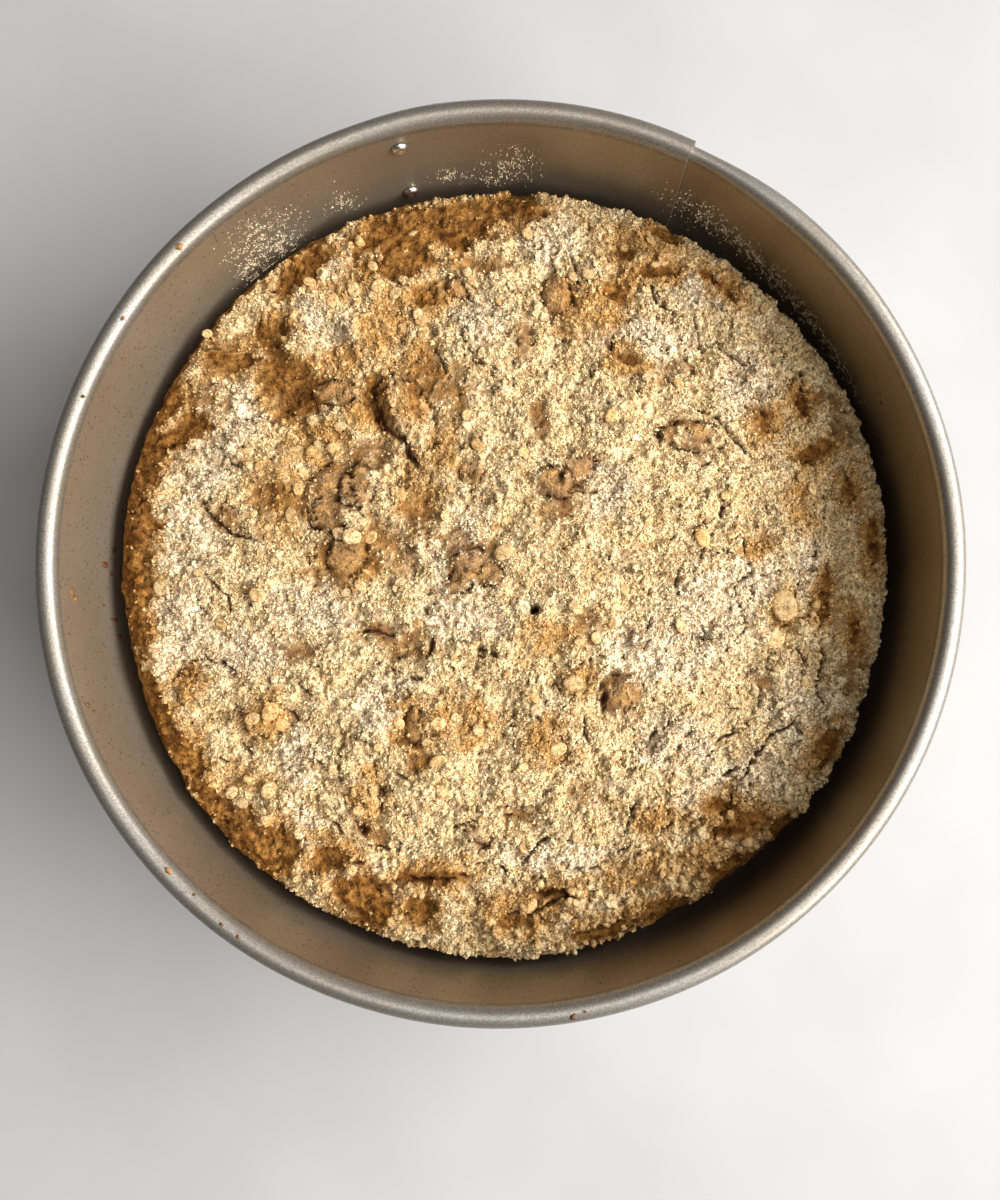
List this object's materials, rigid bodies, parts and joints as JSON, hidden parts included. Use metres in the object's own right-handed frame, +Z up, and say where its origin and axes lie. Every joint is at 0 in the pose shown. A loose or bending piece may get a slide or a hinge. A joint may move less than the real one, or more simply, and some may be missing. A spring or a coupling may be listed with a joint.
{
  "type": "crumb-topped cinnamon sugar cake in a springform tin",
  "caption": "Round domed cake with an oat and sugar crumb topping, in its own springform baking tin with a rolled rim, an overlapping band, a loose base and a hinged lever clasp",
  "frame": {"origin": "middle of the flat underside of the tin's base, on the tin's axis", "axes": "+Z up along the tin's axis, +Y towards the clasp side, +X to the right when the clasp is at the far side"},
  "size_m": [0.2396, 0.2441, 0.07],
  "materials": {
    "tin_coating": "champagne non-stick coating with a fine metallic fleck, satin",
    "clasp_steel": "plain plated steel, satin",
    "cake_crumb": "baked cake with a pale floury crumb and oat topping, browned where it is bare"
  },
  "bodies": {
    "tin": {"tin_band": "tin_coating", "tin_base": "tin_coating", "cake": "cake_crumb", "rivet_left_upper": "clasp_steel", "rivet_left_lower": "clasp_steel", "rivet_right_upper": "clasp_steel", "rivet_right_lower": "clasp_steel", "pivot_bracket": "clasp_steel", "catch_bracket": "clasp_steel", "pivot_pin_upper": "clasp_steel", "pivot_pin_lower": "clasp_steel"},
    "lever": {"clasp_lever": "clasp_steel", "link_pin": "clasp_steel"},
    "link": {"clasp_link": "clasp_steel"}
  },
  "joints": [
    {"name": "lever_hinge", "type": "hinge", "parent": "tin", "child": "lever", "pos_m": [-0.01592, 0.12096, 0.048], "axis": [0, 0, -1], "range_deg": [0, 110]},
    {"name": "link_hinge", "type": "hinge", "parent": "lever", "child": "link", "pos_m": [-0.02731, 0.11644, 0.048], "axis": [0, 0, -1], "range_deg": [-110, 0]}
  ],
  "couplings": [
    {"joint": "link_hinge", "follows": "lever_hinge", "ratio": -1}
  ]
}
